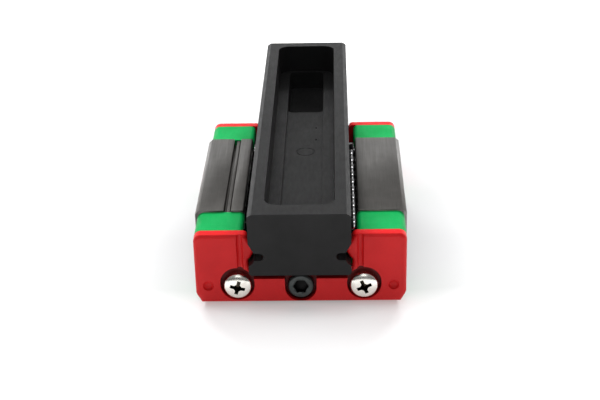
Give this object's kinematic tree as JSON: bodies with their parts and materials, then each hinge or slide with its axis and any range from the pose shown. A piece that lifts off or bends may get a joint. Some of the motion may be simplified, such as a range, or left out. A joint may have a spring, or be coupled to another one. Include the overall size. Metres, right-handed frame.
{
  "type": "linear guide carriage",
  "caption": "Compact recirculating-ball carriage that slides along a profiled rail, parked upside down on a hollow plastic dummy rail.",
  "frame": {"origin": "centre of the carriage's mounting face, the face a table bolts to, which lies downward", "axes": "+Y along the rail, +X across it, +Z out of the rail channel, away from the mounting face"},
  "size_m": [0.032, 0.0724, 0.016],
  "materials": {
    "ground_steel": "fine ground, satin",
    "bearing_steel": "polished",
    "spring_wire": "bright drawn wire",
    "green_plastic": "moulded, fine satin",
    "red_plastic": "moulded, fine satin",
    "white_plastic": "moulded, natural",
    "black_plastic": "moulded, fine satin",
    "nickel_plate": "bright plated",
    "black_oxide": "black oxide, oiled"
  },
  "bodies": {
    "carriage": {"runner_block": "ground_steel", "end_cap_front": "green_plastic", "end_seal_front": "red_plastic", "lube_plug_front": "black_oxide", "cap_screw_front_left": "nickel_plate", "return_guide_front_left": "white_plastic", "cap_screw_front_right": "nickel_plate", "return_guide_front_right": "white_plastic", "end_cap_rear": "green_plastic", "end_seal_rear": "red_plastic", "lube_plug_rear": "black_oxide", "cap_screw_rear_left": "nickel_plate", "return_guide_rear_left": "white_plastic", "cap_screw_rear_right": "nickel_plate", "return_guide_rear_right": "white_plastic", "retainer_wire_left": "spring_wire", "return_balls_left": "bearing_steel", "ball_left_01": "bearing_steel", "ball_left_02": "bearing_steel", "ball_left_03": "bearing_steel", "ball_left_04": "bearing_steel", "ball_left_05": "bearing_steel", "ball_left_06": "bearing_steel", "ball_left_07": "bearing_steel", "ball_left_08": "bearing_steel", "ball_left_09": "bearing_steel", "ball_left_10": "bearing_steel", "retainer_wire_right": "spring_wire", "return_balls_right": "bearing_steel", "ball_right_01": "bearing_steel", "ball_right_02": "bearing_steel", "ball_right_03": "bearing_steel", "ball_right_04": "bearing_steel", "ball_right_05": "bearing_steel", "ball_right_06": "bearing_steel", "ball_right_07": "bearing_steel", "ball_right_08": "bearing_steel", "ball_right_09": "bearing_steel", "ball_right_10": "bearing_steel"},
    "rail": {"dummy_rail": "black_plastic"}
  },
  "joints": [
    {"name": "rail_slide", "type": "slide", "parent": "carriage", "child": "rail", "axis": [0, 1, 0], "range_m": [-0.071, 0.044]}
  ]
}
